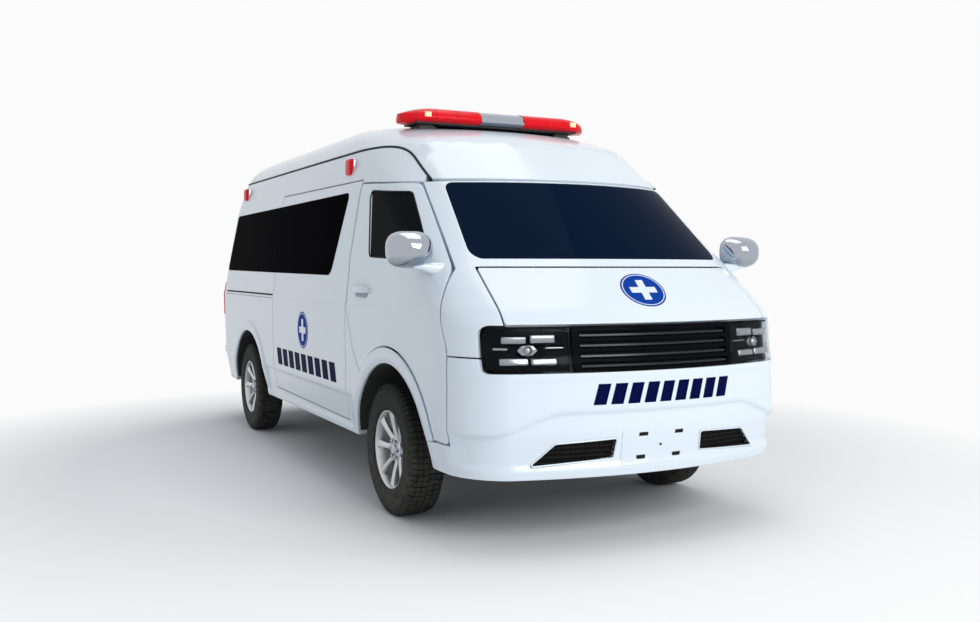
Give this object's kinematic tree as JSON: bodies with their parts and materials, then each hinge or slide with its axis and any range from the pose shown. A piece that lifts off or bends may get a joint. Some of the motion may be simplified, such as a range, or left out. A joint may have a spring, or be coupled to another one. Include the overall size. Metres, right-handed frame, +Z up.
{
  "type": "high-roof van ambulance",
  "caption": "Cab-over high-roof ambulance van with roof light bar, hinged cab doors, bonnet and lift-up tailgate, steered front wheels and free-turning wheels.",
  "frame": {"origin": "on the floor, midway between the front and rear ends and between the sides", "axes": "+Z up, the vehicle faces -Y, its left side is +X"},
  "size_m": [2.21, 5.3798, 2.23],
  "materials": {
    "body_white": "gloss white paint",
    "clear_lamp": "clear lamp cover over a dark housing",
    "gloss_black": "gloss black",
    "dark_glass": "dark tinted glass",
    "red_lens": "red ribbed lens",
    "chrome_trim": "bright plated",
    "rim_silver": "painted alloy",
    "tyre_rubber": "black tyre",
    "flap_rubber": "black rubber",
    "chassis_black": "black coated steel",
    "floor_grey": "grey underbody and floor",
    "trim_grey": "grained grey plastic",
    "seat_vinyl": "dark grey vinyl",
    "exhaust_steel": "dull steel",
    "cabinet_white": "light laminate",
    "tank_plastic": "black moulded tank"
  },
  "bodies": {
    "vehicle_body": {"roof": "body_white", "front_frame": "body_white", "front_bumper": "body_white", "grille_band": "gloss_black", "headlamps": "clear_lamp", "windscreen": "dark_glass", "tail_lamps": "red_lens", "rear_bumper": "body_white", "front_arches": "body_white", "side_wall_right": "body_white", "side_wall_left": "body_white", "sliding_door": "body_white", "side_glass": "dark_glass", "floor_pan": "floor_grey", "dashboard": "trim_grey", "front_seats": "seat_vinyl", "bulkhead": "cabinet_white", "attendant_bench": "seat_vinyl", "equipment_cabinet": "cabinet_white", "front_suspension": "chassis_black", "rear_axle": "chassis_black", "engine_block": "chassis_black", "propeller_shaft": "chassis_black", "fuel_tank": "tank_plastic", "exhaust": "exhaust_steel", "mud_flaps": "flap_rubber", "light_bar": "red_lens", "side_beacons": "red_lens"},
    "front_door_right": {"front_door_right": "body_white", "door_glass_right": "dark_glass", "mirror_right": "chrome_trim"},
    "front_door_left": {"front_door_left": "body_white", "door_glass_left": "dark_glass", "mirror_left": "chrome_trim"},
    "tailgate": {"tailgate": "body_white", "tailgate_glass": "dark_glass"},
    "bonnet": {"bonnet": "body_white"},
    "steering_wheel": {"steering_wheel": "trim_grey"},
    "knuckle_right": {"knuckle_right": "chassis_black"},
    "knuckle_left": {"knuckle_left": "chassis_black"},
    "wheel_front_right": {"tyre_front_right": "tyre_rubber", "rim_front_right": "rim_silver"},
    "wheel_front_left": {"tyre_front_left": "tyre_rubber", "rim_front_left": "rim_silver"},
    "wheel_rear_right": {"tyre_rear_right": "tyre_rubber", "rim_rear_right": "rim_silver"},
    "wheel_rear_left": {"tyre_rear_left": "tyre_rubber", "rim_rear_left": "rim_silver"}
  },
  "joints": [
    {"name": "front_door_right_hinge", "type": "hinge", "parent": "vehicle_body", "child": "front_door_right", "pos_m": [-0.942, -2.309, 1], "axis": [0, 0, 1], "range_deg": [0, 65]},
    {"name": "front_door_left_hinge", "type": "hinge", "parent": "vehicle_body", "child": "front_door_left", "pos_m": [0.942, -2.309, 1], "axis": [0, 0, -1], "range_deg": [0, 65]},
    {"name": "tailgate_hinge", "type": "hinge", "parent": "vehicle_body", "child": "tailgate", "pos_m": [0, 2.332, 1.992], "axis": [1, 0, 0], "range_deg": [0, 85]},
    {"name": "bonnet_hinge", "type": "hinge", "parent": "vehicle_body", "child": "bonnet", "pos_m": [0, -2.39, 1.302], "axis": [-1, 0, 0], "range_deg": [0, 50]},
    {"name": "steer_right", "type": "hinge", "parent": "vehicle_body", "child": "knuckle_right", "pos_m": [-0.68, -1.54, 0.345], "axis": [0, 0, 1], "range_deg": [-33, 33]},
    {"name": "steer_left", "type": "hinge", "parent": "vehicle_body", "child": "knuckle_left", "pos_m": [0.68, -1.54, 0.345], "axis": [0, 0, 1], "range_deg": [-33, 33]},
    {"name": "steering_wheel_turn", "type": "hinge", "parent": "vehicle_body", "child": "steering_wheel", "pos_m": [0.4, -1.87, 1.318], "axis": [0, 0.5299, 0.848], "range_deg": [-462, 462]},
    {"name": "wheel_front_right_spin", "type": "hinge", "parent": "knuckle_right", "child": "wheel_front_right", "pos_m": [-0.8275, -1.54, 0.345], "axis": [1, 0, 0], "continuous": true},
    {"name": "wheel_rear_right_spin", "type": "hinge", "parent": "vehicle_body", "child": "wheel_rear_right", "pos_m": [-0.825, 1.57, 0.345], "axis": [1, 0, 0], "continuous": true},
    {"name": "wheel_front_left_spin", "type": "hinge", "parent": "knuckle_left", "child": "wheel_front_left", "pos_m": [0.8275, -1.54, 0.345], "axis": [1, 0, 0], "continuous": true},
    {"name": "wheel_rear_left_spin", "type": "hinge", "parent": "vehicle_body", "child": "wheel_rear_left", "pos_m": [0.825, 1.57, 0.345], "axis": [1, 0, 0], "continuous": true}
  ],
  "couplings": [
    {"joint": "steer_left", "follows": "steer_right", "ratio": 1},
    {"joint": "steering_wheel_turn", "follows": "steer_right", "ratio": 14}
  ]
}
